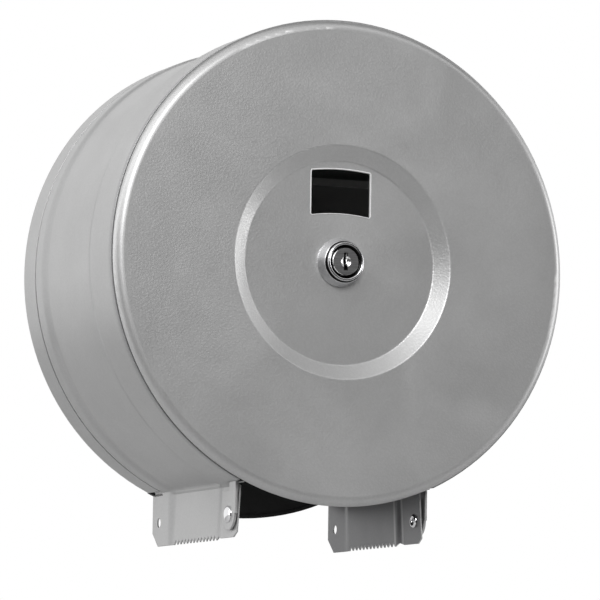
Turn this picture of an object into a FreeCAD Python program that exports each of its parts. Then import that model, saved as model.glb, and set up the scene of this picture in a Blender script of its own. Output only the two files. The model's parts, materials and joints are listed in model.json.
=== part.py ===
"""Jumbo toilet roll dispenser for a wall: a round steel case with two serrated legs, a lid hinged
at its foot with a window and a cam lock, and a turning core holder on a fixed spindle.

Millimetres, +Z up. The origin is where the drum's axis meets the wall; the front is -Y. A size that
ends in _out is a distance from the wall, so it lies at minus that value on Y.
"""
import FreeCAD, Part
import os
import re

import Sketcher

SIZES = {
    # Whole case
    "pan_radius": 125.0,
    "lid_face_out": 137.5,
    # Back pan and the black liner in it
    "pan_wall": 1.0,
    "pan_rim_out": 18.4,
    "pan_bend": 2.0,
    "mouth_margin": 1.2,
    "liner_wall": 2.0,
    "liner_clearance": 0.3,
    "lip_out": 3.4,
    "lip_depth": 12.0,
    "rib_height_share": 0.48,
    "rib_half_share": 0.7,
    "rib_wall": 4.0,
    "rib_rise": 2.4,
    # Screw holes for the wall
    "wall_hole_radius": 3.0,
    "wall_hole_half_width": 80.0,
    "wall_hole_half_height": 28.0,
    # Side band: one strip rolled into the drum, with joggled borders and a leg at each end
    "band_wall": 0.8,
    "band_gap": 0.3,
    "band_back_out": 5.9,
    "tongue_out": 19.2,
    "shoulder_out": 19.9,
    "back_border_out": 28.0,
    "back_joggle": 8.0,
    "waist_drop": 1.3,
    "front_rise": 0.8,
    "front_border": 29.3,
    "front_joggle": 9.0,
    "lid_depth": 4.2,
    "leg_half": 51.3,
    "leg_bend": 0.8,
    "leg_reach": 17.4,
    "leg_setback": 8.2,
    "pinch_drop": 1.2,
    "pinch_waist": 1.8,
    "pinch_front": 0.8,
    "pinch_run": 4.5,
    "foot_waist": 0.35,
    "foot_front": 1.0,
    "front_chamfer_run": 4.3,
    "front_chamfer_rise": 2.6,
    "front_foot_rise": 0.6,
    "back_chamfer_run": 7.9,
    "back_chamfer_rise": 7.2,
    "tooth_depth": 2.5,
    "tooth_count": 13.0,
    "notch_rise": 1.2,
    "spare_hole_radius": 2.5,
    "spare_hole_out": 15.1,
        "slot_rise": 25.0,
    # Lid
    "lid_oversize": 0.2,
    "lid_wall": 1.2,
    "lid_edge_reach": 5.0,
    "lid_gap": 0.8,
    "ring_radius": 60.3,
    "panel_radius": 52.7,
    "panel_drop": 4.9,
    "ring_bend": 1.6,
    "window_half": 16.7,
    "window_top": 47.3,
    "window_foot": 24.0,
    "window_top_arc": 112.0,
    "window_foot_arc": 99.0,
    "window_corner": 0.8,
    # Hinge
    "pivot_setback": 7.7,
    "pivot_share": 0.2874,
    "hinge_rise": 0.3,
    "lug_rise": 1.0,
    "lug_wall": 1.2,
    "lug_radius": 8.2,
    "lug_front_reach": 9.3,
    "lug_shoulder_rise": 12.0,
    "lug_slot_clearance": 0.5,
    "lug_neck_setback": 1.1,
    "lug_foot_rise": 21.0,
    "lug_foot_height": 18.0,
    "lug_foot_width": 14.0,
    "washer_radius": 4.2,
    "pin_radius": 2.5,
    "pin_clearance": 0.05,
    "pin_head_radius": 4.3,
    "pin_head_rise": 1.7,
    "pin_rim_share": 0.3,
    "pin_seat": 1.2,
    "pin_tail_radius": 3.5,
    "pin_tail_rise": 0.8,
    "pin_bore_radius": 1.6,
    "pin_bore_depth": 2.6,
    # Cam lock
    "bezel_radius": 12.6,
    "bezel_skirt": 0.9,
    "bezel_collar_radius": 11.0,
    "bezel_collar_drop": 2.5,
    "bezel_step": 0.4,
    "bezel_lip_radius": 10.1,
    "bezel_lip_round": 0.7,
    "bezel_rise": 8.2,
    "bezel_lip_wall": 1.3,
    "bezel_dish": 1.5,
    "lock_radius": 9.5,
    "lock_flat_half": 8.0,
    "lock_reach": 13.0,
    "lock_fit": 0.05,
    "plug_radius": 7.4,
    "plug_step_radius": 6.2,
    "plug_head": 9.0,
    "plug_drop": 0.5,
    "plug_chamfer": 0.4,
    "plug_fit": 0.06,
    "keyway_half_width": 1.1,
    "keyway_half_height": 4.6,
    "keyway_depth": 16.0,
    "keyway_eye_radius": 2.9,
    "keyway_eye_depth": 1.2,
    "neck_radius": 5.0,
    "neck_flat_half": 4.0,
    "cam_wall": 2.0,
    "cam_boss_wall": 1.8,
    "cam_half_width": 5.0,
    "cam_reach": 18.0,
    "cam_gap": 0.8,
    "nut_half": 11.0,
    "nut_wall": 3.0,
    "tooth_washer_radius": 11.6,
    "tooth_washer_wall": 0.6,
    "screw_head_radius": 4.0,
    "screw_head_rise": 2.2,
    "screw_rim_share": 0.6,
    "screw_radius": 2.0,
    "screw_length": 9.0,
    # Spindle and core holder
    "post_radius": 22.4,
    "post_wall": 1.4,
    "post_flange_radius": 36.0,
    "post_flange_wall": 2.0,
    "catch_setback": 17.3,
    "catch_wall": 1.5,
    "catch_radius": 24.6,
    "catch_slot_half_length": 19.8,
    "catch_slot_half_height": 7.6,
    "hub_fit": 0.05,
    "hub_wall": 2.4,
    "hub_end_gap": 0.5,
    "hub_flange_radius": 40.0,
    "hub_flange_wall": 2.5,
    "hub_rib_radius": 28.0,
    "hub_rib_half": 1.5,
    "hub_rib_lead": 9.0,
    "hub_rib_count": 6.0,
    # Rivets that hold the spindle and the liner
    "rivet_radius": 2.0,
    "rivet_head_radius": 3.8,
    "rivet_head_rise": 1.2,
    "spindle_rivet_circle": 30.0,
    "liner_rivet_across_share": 0.736,
    "liner_rivet_up_share": 0.336,
    # Cuts run past a solid by this much
    "overrun": 5.0,
}

doc = FreeCAD.newDocument("Dispenser")
sheet = doc.addObject("Spreadsheet::Sheet", "Dimensions")
for row, (size_name, size) in enumerate(SIZES.items(), start=1):
    sheet.set("A%d" % row, size_name)
    sheet.set("B%d" % row, str(size))
    sheet.setAlias("B%d" % row, size_name)
doc.recompute()


# Formulas that several pieces share, in the names of the sheet
BAND_FRONT_OUT = "(lid_face_out - lid_depth)"
FRONT_BORDER_OUT = "(%s - front_border)" % BAND_FRONT_OUT
WAIST_FRONT_OUT = "(%s - front_joggle)" % FRONT_BORDER_OUT
WAIST_BACK_OUT = "(back_border_out + back_joggle)"
LEG_FRONT_OUT = "(%s - leg_setback)" % BAND_FRONT_OUT
FLANGE_END_OUT = "(%s + lid_gap)" % BAND_FRONT_OUT
LEG_FOOT = "(pan_radius + leg_reach)"
BAND_TONGUE = "(pan_radius - pan_wall - band_gap)"
LEG_ANGLE = "asin((leg_half + leg_bend) / (pan_radius + leg_bend))"
LEG_TOP = "sqrt(pow(pan_radius + leg_bend; 2) - pow(leg_half + leg_bend; 2))"
TOOTH_PITCH = "((%s - %s) / tooth_count)" % (WAIST_FRONT_OUT, WAIST_BACK_OUT)
PIVOT_OUT = "(%s - pivot_setback)" % LEG_FRONT_OUT
PIVOT_DOWN = "(pan_radius + leg_reach * pivot_share)"
HINGE_FACE = "(leg_half + hinge_rise)"
LUG_FACE = "(leg_half + lug_rise)"
LID_RADIUS = "(pan_radius + lid_oversize)"
LID_INSIDE_OUT = "(lid_face_out - lid_wall)"
PANEL_OUT = "(lid_face_out - panel_drop)"
PANEL_BACK_OUT = "(%s - lid_wall)" % PANEL_OUT
LOCK_BACK_OUT = "(%s - lock_reach)" % PANEL_BACK_OUT
CATCH_OUT = "(%s - catch_setback)" % BAND_FRONT_OUT
CAM_FRONT_OUT = "(%s - cam_gap)" % CATCH_OUT
LINER_OUT = "(pan_wall + liner_wall)"
FLANGE_OUT = "(%s + post_flange_wall)" % LINER_OUT


def linked(formula):
    """The formula with every size written as a cell of the sheet."""
    return re.sub(r"[a-z_]{3,}",
                  lambda m: "Dimensions." + m.group() if m.group() in SIZES else m.group(), formula)


def value(formula):
    """What the formula comes to now."""
    result = sheet.evalExpression(formula)
    return float(getattr(result, "Value", result))


def bind(thing, prop, formula):
    thing.setExpression(prop, linked(formula))


def new_body(label):
    body = doc.addObject("PartDesign::Body", label)
    body.Label = label
    return body


def plane_of(body, role):
    return next(feature for feature in body.Origin.OriginFeatures if feature.Role == role)


def new_sketch(body, name, role, offset="0"):
    """A sketch on one of the body's own planes, moved along that plane's normal."""
    sketch = body.newObject("Sketcher::SketchObject", name)
    sketch.AttachmentSupport = [(plane_of(body, role), "")]
    sketch.MapMode = "FlatFace"
    bind(sketch, "AttachmentOffset.Base.z", offset)
    return sketch


def fix_point(sketch, geometry, position, across, up):
    """Ties a point of the sketch to two formulas."""
    for kind, formula in (("DistanceX", across), ("DistanceY", up)):
        index = sketch.addConstraint(Sketcher.Constraint(kind, -1, 1, geometry, position, value(formula)))
        bind(sketch, "Constraints[%d]" % index, formula)


def arc_between(start, end, radius, side):
    """The shorter arc from start to end; side is 1 where its centre lies left of the chord, else -1."""
    chord = end - start
    middle = (start + end) * 0.5
    height = (radius ** 2 - (chord.Length / 2) ** 2) ** 0.5
    across = FreeCAD.Vector(-chord.y, chord.x, 0).normalize()
    centre = middle + across * height * side
    first, last = (start, end) if side > 0 else (end, start)
    angles = [FreeCAD.Vector(1, 0, 0).getAngle(point - centre) for point in (first, last)]
    signs = [1 if (point - centre).y >= 0 else -1 for point in (first, last)]
    circle = Part.Circle(centre, FreeCAD.Vector(0, 0, 1), radius)
    return Part.ArcOfCircle(circle, angles[0] * signs[0], angles[1] * signs[1])


def draw(sketch, corners, arcs=None):
    """A closed outline through corners given as formulas; arcs maps a side's number to (radius, side)."""
    arcs = arcs or {}
    points = [FreeCAD.Vector(value(across), value(up), 0) for across, up in corners]
    ends = []
    for number, start in enumerate(points):
        end = points[(number + 1) % len(points)]
        if number in arcs:
            radius, side = arcs[number]
            geometry = sketch.addGeometry(arc_between(start, end, value(radius), side), False)
            ends.append((geometry, 1, 2) if side > 0 else (geometry, 2, 1))
        else:
            ends.append((sketch.addGeometry(Part.LineSegment(start, end), False), 1, 2))
    for number, (geometry, first, last) in enumerate(ends):
        following = ends[(number + 1) % len(ends)]
        sketch.addConstraint(Sketcher.Constraint("Coincident", geometry, last, following[0], following[1]))
        fix_point(sketch, geometry, first, *corners[number])
        if number in arcs:
            radius = arcs[number][0]
            index = sketch.addConstraint(Sketcher.Constraint("Radius", geometry, value(radius)))
            bind(sketch, "Constraints[%d]" % index, radius)


def draw_box(sketch, left, right, low, high):
    draw(sketch, [(left, low), (right, low), (right, high), (left, high)])


def draw_circle(sketch, across, up, radius):
    centre = FreeCAD.Vector(value(across), value(up), 0)
    geometry = sketch.addGeometry(Part.Circle(centre, FreeCAD.Vector(0, 0, 1), value(radius)), False)
    fix_point(sketch, geometry, 3, across, up)
    index = sketch.addConstraint(Sketcher.Constraint("Radius", geometry, value(radius)))
    bind(sketch, "Constraints[%d]" % index, radius)


def pad(body, name, sketch, length, reverse=False, both=False):
    feature = body.newObject("PartDesign::Pad", name)
    feature.Profile = sketch
    bind(feature, "Length", length)
    feature.Reversed = reverse
    feature.Midplane = both
    doc.recompute()
    return feature


def pocket(body, name, sketch, length, reverse=False, both=False):
    before = body.Shape.Volume
    feature = body.newObject("PartDesign::Pocket", name)
    feature.Profile = sketch
    feature.Type = 0
    bind(feature, "Length", length)
    feature.Reversed = reverse
    feature.Midplane = both
    doc.recompute()
    if not body.Shape.Volume < before:
        raise RuntimeError("%s cuts nothing" % name)
    return feature


def turn(body, name, sketch, axis="H_Axis", angle="360", reverse=False, both=False):
    """A solid turned about an axis of the sketch."""
    feature = body.newObject("PartDesign::Revolution", name)
    feature.Profile = sketch
    feature.ReferenceAxis = (sketch, [axis])
    bind(feature, "Angle", angle)
    feature.Reversed = reverse
    feature.Midplane = both
    doc.recompute()
    return feature


def polar(body, name, originals, count):
    feature = body.newObject("PartDesign::PolarPattern", name)
    feature.Originals = originals
    feature.Axis = (plane_of(body, "Y_Axis"), [""])
    feature.Angle = 360
    bind(feature, "Occurrences", count)
    body.Tip = feature
    doc.recompute()
    return feature


def round_edges(body, name, base, radius, chosen):
    """Fillets the edges of the base that the test picks."""
    names = ["Edge%d" % (number + 1) for number, edge in enumerate(base.Shape.Edges) if chosen(edge)]
    feature = body.newObject("PartDesign::Fillet", name)
    feature.Base = (base, names)
    bind(feature, "Radius", radius)
    doc.recompute()
    return feature


def is_ring(edge, radius, out, slack=0.01):
    """Whether an edge is a circle about the drum's axis, of this radius and this far out."""
    if not isinstance(edge.Curve, Part.Circle):
        return False
    centre = edge.Curve.Center
    on_axis = abs(centre.x) + abs(centre.z) < slack
    return on_axis and abs(edge.Curve.Radius - value(radius)) < slack and abs(centre.y + value(out)) < slack


def corners_of_rectangle(half_width, half_height):
    return [(across + half_width, up + half_height) for across in ("", "-") for up in ("", "-")]


SPINDLE_RIVETS = [("spindle_rivet_circle", "0"), ("-spindle_rivet_circle", "0"), ("0", "spindle_rivet_circle"),
                  ("0", "-spindle_rivet_circle")]
LINER_RIVETS = corners_of_rectangle("pan_radius * liner_rivet_across_share", "pan_radius * liner_rivet_up_share")


def draw_fixing_holes(sketch):
    """Holes for the wall screws, the liner's rivets and the spindle's rivets."""
    for across, up in corners_of_rectangle("wall_hole_half_width", "wall_hole_half_height"):
        draw_circle(sketch, across, up, "wall_hole_radius")
    for across, up in LINER_RIVETS + SPINDLE_RIVETS:
        draw_circle(sketch, across, up, "rivet_radius")


def back_pan():
    """A shallow pressed pan against the wall, its rim cut away over the mouth between the legs."""
    body = new_body("back_pan")
    profile = new_sketch(body, "pan_profile", "YZ_Plane")
    draw(profile, [("0", "0"), ("0", "pan_radius"), ("-pan_rim_out", "pan_radius"),
                   ("-pan_rim_out", "pan_radius - pan_wall"), ("-pan_wall", "pan_radius - pan_wall"),
                   ("-pan_wall", "0")])
    shell = turn(body, "pan_turned", profile)
    outer = round_edges(body, "pan_outer_bend", shell, "pan_bend", lambda e: is_ring(e, "pan_radius", "0"))
    round_edges(body, "pan_inner_bend", outer, "pan_bend - pan_wall",
                lambda e: is_ring(e, "pan_radius - pan_wall", "pan_wall"))
    mouth = new_sketch(body, "mouth_outline", "XZ_Plane", "-overrun")
    floor_radius = "(pan_radius - pan_bend)"
    chord = "-sqrt(pow(%s; 2) - pow(leg_half + mouth_margin; 2))" % floor_radius
    draw(mouth, [("-leg_half - mouth_margin", chord), ("-leg_half - mouth_margin", "-pan_radius - overrun"),
                 ("leg_half + mouth_margin", "-pan_radius - overrun"), ("leg_half + mouth_margin", chord)],
         {3: (floor_radius, -1)})
    pocket(body, "mouth_cut", mouth, "pan_rim_out + overrun * 2", reverse=True)
    holes = new_sketch(body, "pan_holes", "XZ_Plane", "-overrun")
    draw_fixing_holes(holes)
    pocket(body, "pan_hole_cut", holes, "pan_wall + overrun * 2", reverse=True)
    return body


def back_liner():
    """A black plastic disc in the pan, with two ribs and a lip round the pan's free edge at the mouth."""
    body = new_body("back_liner")
    disc = new_sketch(body, "liner_disc", "XZ_Plane", "pan_wall")
    draw_circle(disc, "0", "0", "pan_radius - pan_bend - liner_clearance")
    pad(body, "liner_sheet", disc, "liner_wall")
    half = "(leg_half + mouth_margin - liner_clearance)"
    rim = "-sqrt(pow(pan_radius; 2) - pow(%s; 2))" % half
    tab = new_sketch(body, "tab_outline", "XZ_Plane", "pan_wall")
    draw(tab, [("-" + half, "-pan_radius + lip_depth + overrun"), ("-" + half, rim), (half, rim),
               (half, "-pan_radius + lip_depth + overrun")], {1: ("pan_radius", 1)})
    pad(body, "liner_tab", tab, "liner_wall")
    lip = new_sketch(body, "lip_outline", "XZ_Plane", "0")
    inner = "(pan_radius - pan_bend + liner_clearance)"
    chord = "-sqrt(pow(%s; 2) - pow(%s; 2))" % (inner, half)
    draw(lip, [("-" + half, chord), ("-" + half, rim), (half, rim), (half, chord)],
         {1: ("pan_radius", 1), 3: (inner, -1)})
    pad(body, "liner_lip", lip, "lip_out")
    ribs = new_sketch(body, "rib_outlines", "XZ_Plane", LINER_OUT)
    for sign in ("", "-"):
        centre = "%span_radius * rib_height_share" % sign
        draw_box(ribs, "-pan_radius * rib_half_share", "pan_radius * rib_half_share",
                 centre + " - rib_wall / 2", centre + " + rib_wall / 2")
    pad(body, "liner_ribs", ribs, "rib_rise")
    holes = new_sketch(body, "liner_holes", "XZ_Plane", "0")
    draw_fixing_holes(holes)
    pocket(body, "liner_hole_cut", holes, "pan_wall + liner_wall + overrun", reverse=True)
    return body


def strip_outline(levels, outs, inward):
    """One wall's thickness of joggled strip. levels are the four flats from back to front, as distances
    outward; outs are the eight places where they begin and end; inward says how a level becomes a
    coordinate. Returns corners as (level, out) pairs, and the arcs of the two soft joggles."""
    tongue, border, waist, front = levels
    way = [(tongue, outs[0]), (tongue, outs[1]), (border, outs[2]), (border, outs[3]),
           ("(%s + %s) / 2" % (border, waist), "(%s + %s) / 2" % (outs[3], outs[4])),
           (waist, outs[4]), (waist, outs[5]),
           ("(%s + %s) / 2" % (waist, front), "(%s + %s) / 2" % (outs[5], outs[6])),
           (front, outs[6]), (front, outs[7])]
    radii = ["((pow(%s - %s; 2) + pow(%s - %s; 2)) / (4 * abs(%s - %s)))" % (b, a, high, low, high, low)
             for a, b, high, low in ((outs[3], outs[4], border, waist), (outs[5], outs[6], front, waist))]
    arcs = {3: (radii[0], 1), 4: (radii[0], -1), 6: (radii[1], -1), 7: (radii[1], 1)}
    last = len(way) * 2 - 2
    arcs.update({last - side: (radius, -turn_side) for side, (radius, turn_side) in list(arcs.items())})
    outer = [(inward % level, "-" + out) for level, out in way]
    inner = [(inward % ("(%s - band_wall)" % level), "-" + out) for level, out in reversed(way)]
    return outer + inner, arcs


def leg_section(body, name, height, levels, outs):
    """The left leg cut level: back border, blade and front border, one wall thick."""
    sketch = new_sketch(body, name, "XY_Plane", height)
    draw(sketch, *strip_outline(levels, outs, "-(%s)"))
    return sketch


def side_band():
    """The drum wall and its two legs, rolled from one strip with joggled borders."""
    body = new_body("side_band")
    outs = ["band_back_out", "tongue_out", "shoulder_out", "back_border_out", WAIST_BACK_OUT, WAIST_FRONT_OUT,
            FRONT_BORDER_OUT, BAND_FRONT_OUT]
    profile = new_sketch(body, "band_profile", "YZ_Plane")
    drum_levels = [BAND_TONGUE, "pan_radius", "(pan_radius - waist_drop)", "(pan_radius + front_rise)"]
    corners, arcs = strip_outline(drum_levels, outs, "%s")
    draw(profile, [(along, radius) for radius, along in corners], arcs)
    turn(body, "drum", profile, angle="2 * (180 deg - %s)" % LEG_ANGLE, both=True)
    depth = "(pan_radius - leg_half)"
    upper = leg_section(body, "leg_section_top", "-" + LEG_TOP,
                        ["(%s - %s)" % (level, depth) for level in drum_levels], outs)
    axis = upper.addGeometry(Part.LineSegment(FreeCAD.Vector(value("-leg_half - leg_bend"), 0, 0),
                                              FreeCAD.Vector(value("-leg_half - leg_bend"), 1, 0)), True)
    fix_point(upper, axis, 1, "-leg_half - leg_bend", "0")
    upper.addConstraint(Sketcher.Constraint("Vertical", axis))
    bend = turn(body, "leg_bend_turned", upper, axis="Axis0", angle="90 deg - %s" % LEG_ANGLE, reverse=True)
    pinched = outs[:5] + ["(%s + pinch_run)" % WAIST_FRONT_OUT,
                          "(%s - pinch_run / 2)" % FRONT_BORDER_OUT, outs[7]]
    pinch = leg_section(body, "leg_section_pinch", "-%s - pinch_drop" % LEG_TOP,
                        ["leg_half", "leg_half", "(leg_half - pinch_waist)", "(leg_half - pinch_front)"], pinched)
    foot = leg_section(body, "leg_section_foot", "-%s - overrun" % LEG_FOOT,
                       ["leg_half", "leg_half", "(leg_half - foot_waist)", "(leg_half + foot_front)"], outs)
    leg = body.newObject("PartDesign::AdditiveLoft", "leg")
    leg.Profile = upper
    leg.Sections = [pinch, foot]
    leg.Ruled = True
    doc.recompute()
    mirror = body.newObject("PartDesign::Mirrored", "right_leg")
    mirror.Originals = [bend, leg]
    mirror.MirrorPlane = (plane_of(body, "YZ_Plane"), [""])
    body.Tip = mirror
    doc.recompute()
    across = "(leg_half + overrun) * 2"
    ends = new_sketch(body, "leg_end_outline", "YZ_Plane")
    below = "-%s - overrun * 2" % LEG_FOOT
    foot_line = "-" + LEG_FOOT
    front = "-" + LEG_FRONT_OUT
    front_foot = foot_line + " + front_foot_rise"
    draw(ends, [("-band_back_out + overrun", below), ("-%s - overrun" % BAND_FRONT_OUT, below),
                ("-%s - overrun" % BAND_FRONT_OUT, "-" + LEG_TOP), (front, "-" + LEG_TOP),
                (front, front_foot + " + front_chamfer_rise"),
                (front + " + front_chamfer_run", front_foot), ("-" + FRONT_BORDER_OUT, front_foot),
                ("-(%s + %s) / 2" % (FRONT_BORDER_OUT, WAIST_FRONT_OUT), front_foot + " + notch_rise"),
                ("-" + WAIST_FRONT_OUT, foot_line), ("-band_back_out - back_chamfer_run", foot_line),
                ("-band_back_out", foot_line + " + back_chamfer_rise"),
                ("-band_back_out + overrun", foot_line + " + back_chamfer_rise")])
    pocket(body, "leg_end_cut", ends, across, both=True)
    tooth = new_sketch(body, "tooth_gap_outline", "YZ_Plane")
    start = "-" + WAIST_BACK_OUT
    draw(tooth, [(start, foot_line + " - overrun"),
                 ("%s - %s" % (start, TOOTH_PITCH), foot_line + " - overrun"),
                 ("%s - %s" % (start, TOOTH_PITCH), foot_line),
                 ("%s - %s / 2" % (start, TOOTH_PITCH), foot_line + " + tooth_depth"), (start, foot_line)])
    gap = pocket(body, "tooth_gap", tooth, across, both=True)
    teeth = body.newObject("PartDesign::LinearPattern", "teeth")
    teeth.Originals = [gap]
    teeth.Direction = (plane_of(body, "Y_Axis"), [""])
    teeth.Reversed = True
    bind(teeth, "Length", "%s * (tooth_count - 1)" % TOOTH_PITCH)
    bind(teeth, "Occurrences", "tooth_count")
    body.Tip = teeth
    doc.recompute()
    holes = new_sketch(body, "leg_hole_outlines", "YZ_Plane")
    draw_circle(holes, "-spare_hole_out", "-" + PIVOT_DOWN, "spare_hole_radius")
    draw_circle(holes, "-" + PIVOT_OUT, "-" + PIVOT_DOWN, "pin_radius")
    pocket(body, "leg_hole_cut", holes, across, both=True)
    for side, sign in (("left", "-"), ("right", "")):
        slot = new_sketch(body, side + "_lug_slot", "XY_Plane", "-pan_radius")
        middle = "%s(%s + lug_wall / 2)" % (sign, LUG_FACE)
        half = "(lug_wall / 2 + lug_slot_clearance)"
        draw_box(slot, middle + " - " + half, middle + " + " + half, "-%s - overrun" % BAND_FRONT_OUT,
                 "-%s - lug_neck_setback + lug_slot_clearance" % PIVOT_OUT)
        pocket(body, side + "_lug_slot_cut", slot, "slot_rise", reverse=True)
    return body


def front_lid():
    """A pressed disc with a rolled edge, a dished centre panel and a cut window."""
    body = new_body("front_lid")
    profile = new_sketch(body, "lid_profile", "YZ_Plane")
    face_end = "(%s - lid_edge_reach)" % LID_RADIUS
    depth = "(lid_face_out - %s)" % FLANGE_END_OUT
    edge = "((pow(lid_edge_reach; 2) + pow(%s; 2)) / (2 * %s))" % (depth, depth)
    within = "(1 - lid_wall / %s)" % edge
    inner_end = "%s + lid_edge_reach * %s" % (face_end, within)
    inner_out = "lid_face_out - %s + (%s - %s) * %s" % (edge, edge, depth, within)
    draw(profile, [("-" + PANEL_OUT, "0"), ("-" + PANEL_OUT, "panel_radius"), ("-lid_face_out", "ring_radius"),
                   ("-lid_face_out", face_end), ("-" + FLANGE_END_OUT, LID_RADIUS),
                   ("-(%s)" % inner_out, inner_end), ("-" + LID_INSIDE_OUT, face_end),
                   ("-" + LID_INSIDE_OUT, "ring_radius"), ("-" + PANEL_BACK_OUT, "panel_radius"),
                   ("-" + PANEL_BACK_OUT, "0")], {3: (edge, -1), 5: ("(%s - lid_wall)" % edge, 1)})
    turn(body, "lid_turned", profile)
    window = new_sketch(body, "window_outline", "XZ_Plane", PANEL_BACK_OUT)
    draw(window, [("-window_half", "window_foot"), ("window_half", "window_foot"), ("window_half", "window_top"),
                  ("-window_half", "window_top")], {0: ("window_foot_arc", -1), 2: ("window_top_arc", 1)})
    opening = pocket(body, "window_cut", window, "lid_wall * 2 + overrun", both=True)
    sides = (value("window_half"), value("window_foot") - value("overrun"), value("window_top") + value("overrun"))
    round_edges(body, "window_corners", opening, "window_corner",
                lambda e: e.BoundBox.YLength > value("lid_wall") / 2 and e.BoundBox.XLength < value("lock_fit")
                and abs(abs(e.CenterOfMass.x) - sides[0]) < value("lock_fit")
                and sides[1] < e.CenterOfMass.z < sides[2])
    bore = new_sketch(body, "lock_hole", "XZ_Plane", PANEL_BACK_OUT)
    flat = "(lock_flat_half + lock_fit)"
    rise = "sqrt(pow(lock_radius + lock_fit; 2) - pow(%s; 2))" % flat
    draw(bore, [("-" + flat, "-" + rise), (flat, "-" + rise), (flat, rise), ("-" + flat, rise)],
         {0: ("lock_radius + lock_fit", 1), 2: ("lock_radius + lock_fit", 1)})
    holed = pocket(body, "lock_hole_cut", bore, "lid_wall * 2 + overrun", both=True)
    rings = (("ring_radius", "lid_face_out"), ("panel_radius", PANEL_OUT), ("ring_radius", LID_INSIDE_OUT),
             ("panel_radius", PANEL_BACK_OUT))
    round_edges(body, "ring_edges", holed, "ring_bend", lambda e: any(is_ring(e, r, out) for r, out in rings))
    return body


def lid_lug(side, sign):
    """A bent bracket inside the lid that comes out through the slot in the band and turns on the pin."""
    body = new_body("lid_lug_" + side)
    face = sign + LUG_FACE
    plate = new_sketch(body, side + "_lug_outline", "YZ_Plane", face)
    front = "-%s - lug_front_reach" % PIVOT_OUT
    rear = "-%s + lug_radius" % PIVOT_OUT
    neck = "-%s - lug_neck_setback" % PIVOT_OUT
    foot_low = "(pan_radius - lug_foot_rise)"
    foot_top = "(%s - lug_foot_height)" % foot_low
    shoulder = "-%s + lug_shoulder_rise" % PIVOT_DOWN
    draw(plate, [("-" + LID_INSIDE_OUT, "-" + foot_top), ("-" + LID_INSIDE_OUT, "-" + foot_low),
                 (front, "-%s - lug_front_reach" % foot_low), (front, "-" + PIVOT_DOWN), (rear, "-" + PIVOT_DOWN),
                 (rear, shoulder), (neck, shoulder), (neck, "-" + foot_low), (front, "-" + foot_top)])
    left = sign == "-"
    pad(body, side + "_lug_plate", plate, "lug_wall", reverse=left)
    eye = new_sketch(body, side + "_lug_eye", "YZ_Plane", face)
    draw_circle(eye, "-" + PIVOT_OUT, "-" + PIVOT_DOWN, "lug_radius")
    pad(body, side + "_lug_end", eye, "lug_wall", reverse=left)
    foot = new_sketch(body, side + "_lug_foot_outline", "XZ_Plane", LID_INSIDE_OUT)
    outer = "%s(%s + lug_wall)" % (sign, LUG_FACE)
    inner = "%s(%s - lug_foot_width)" % (sign, LUG_FACE)
    low, high = (outer, inner) if left else (inner, outer)
    draw_box(foot, low, high, "-" + foot_low, "-" + foot_top)
    pad(body, side + "_lug_foot", foot, "lug_wall", reverse=True)
    hole = new_sketch(body, side + "_lug_hole_outline", "YZ_Plane", face)
    draw_circle(hole, "-" + PIVOT_OUT, "-" + PIVOT_DOWN, "pin_radius + pin_clearance")
    pocket(body, side + "_lug_hole", hole, "lug_wall * 2 + overrun", both=True)
    return body


def hinge_parts(side, sign):
    """The shouldered pin through leg and lug, and the washer between them."""
    middle = "-" + PIVOT_OUT
    washer = new_body("hinge_washer_" + side)
    ring = new_sketch(washer, side + "_washer_ring", "YZ_Plane", sign + HINGE_FACE)
    draw_circle(ring, middle, "-" + PIVOT_DOWN, "washer_radius")
    draw_circle(ring, middle, "-" + PIVOT_DOWN, "pin_radius")
    pad(washer, side + "_washer_sheet", ring, "lug_rise - hinge_rise - pin_clearance", reverse=sign == "-")
    pin = new_body("hinge_pin_" + side)
    profile = new_sketch(pin, side + "_pin_profile", "XY_Plane", "-" + PIVOT_DOWN)
    tail = "(leg_half - pin_seat - pin_tail_rise)"
    head = "(%s + lug_wall + pin_clearance)" % LUG_FACE
    along = [(tail, "pin_bore_radius"), (tail, "pin_tail_radius"), (tail + " + pin_tail_rise", "pin_tail_radius"),
             (tail + " + pin_tail_rise", "pin_radius"), (head, "pin_radius"), (head, "pin_head_radius"),
             (head + " + pin_head_rise * pin_rim_share", "pin_head_radius"),
             (head + " + pin_head_rise", "0"), (tail + " + pin_bore_depth", "0"),
             (tail + " + pin_bore_depth", "pin_bore_radius")]
    dome = "((pow(pin_head_radius; 2) + pow(%s; 2)) / (2 * %s))" % (("(pin_head_rise * (1 - pin_rim_share))",) * 2)
    draw(profile, [(sign + "(" + across + ")", "%s + %s" % (middle, radius)) for across, radius in along],
         {6: (dome, 1 if sign else -1)})
    axis = profile.addGeometry(Part.LineSegment(FreeCAD.Vector(0, value(middle), 0),
                                                FreeCAD.Vector(1, value(middle), 0)), True)
    fix_point(profile, axis, 1, "0", middle)
    profile.addConstraint(Sketcher.Constraint("Horizontal", axis))
    turn(pin, side + "_pin_turned", profile, axis="Axis0")
    return washer, pin


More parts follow.
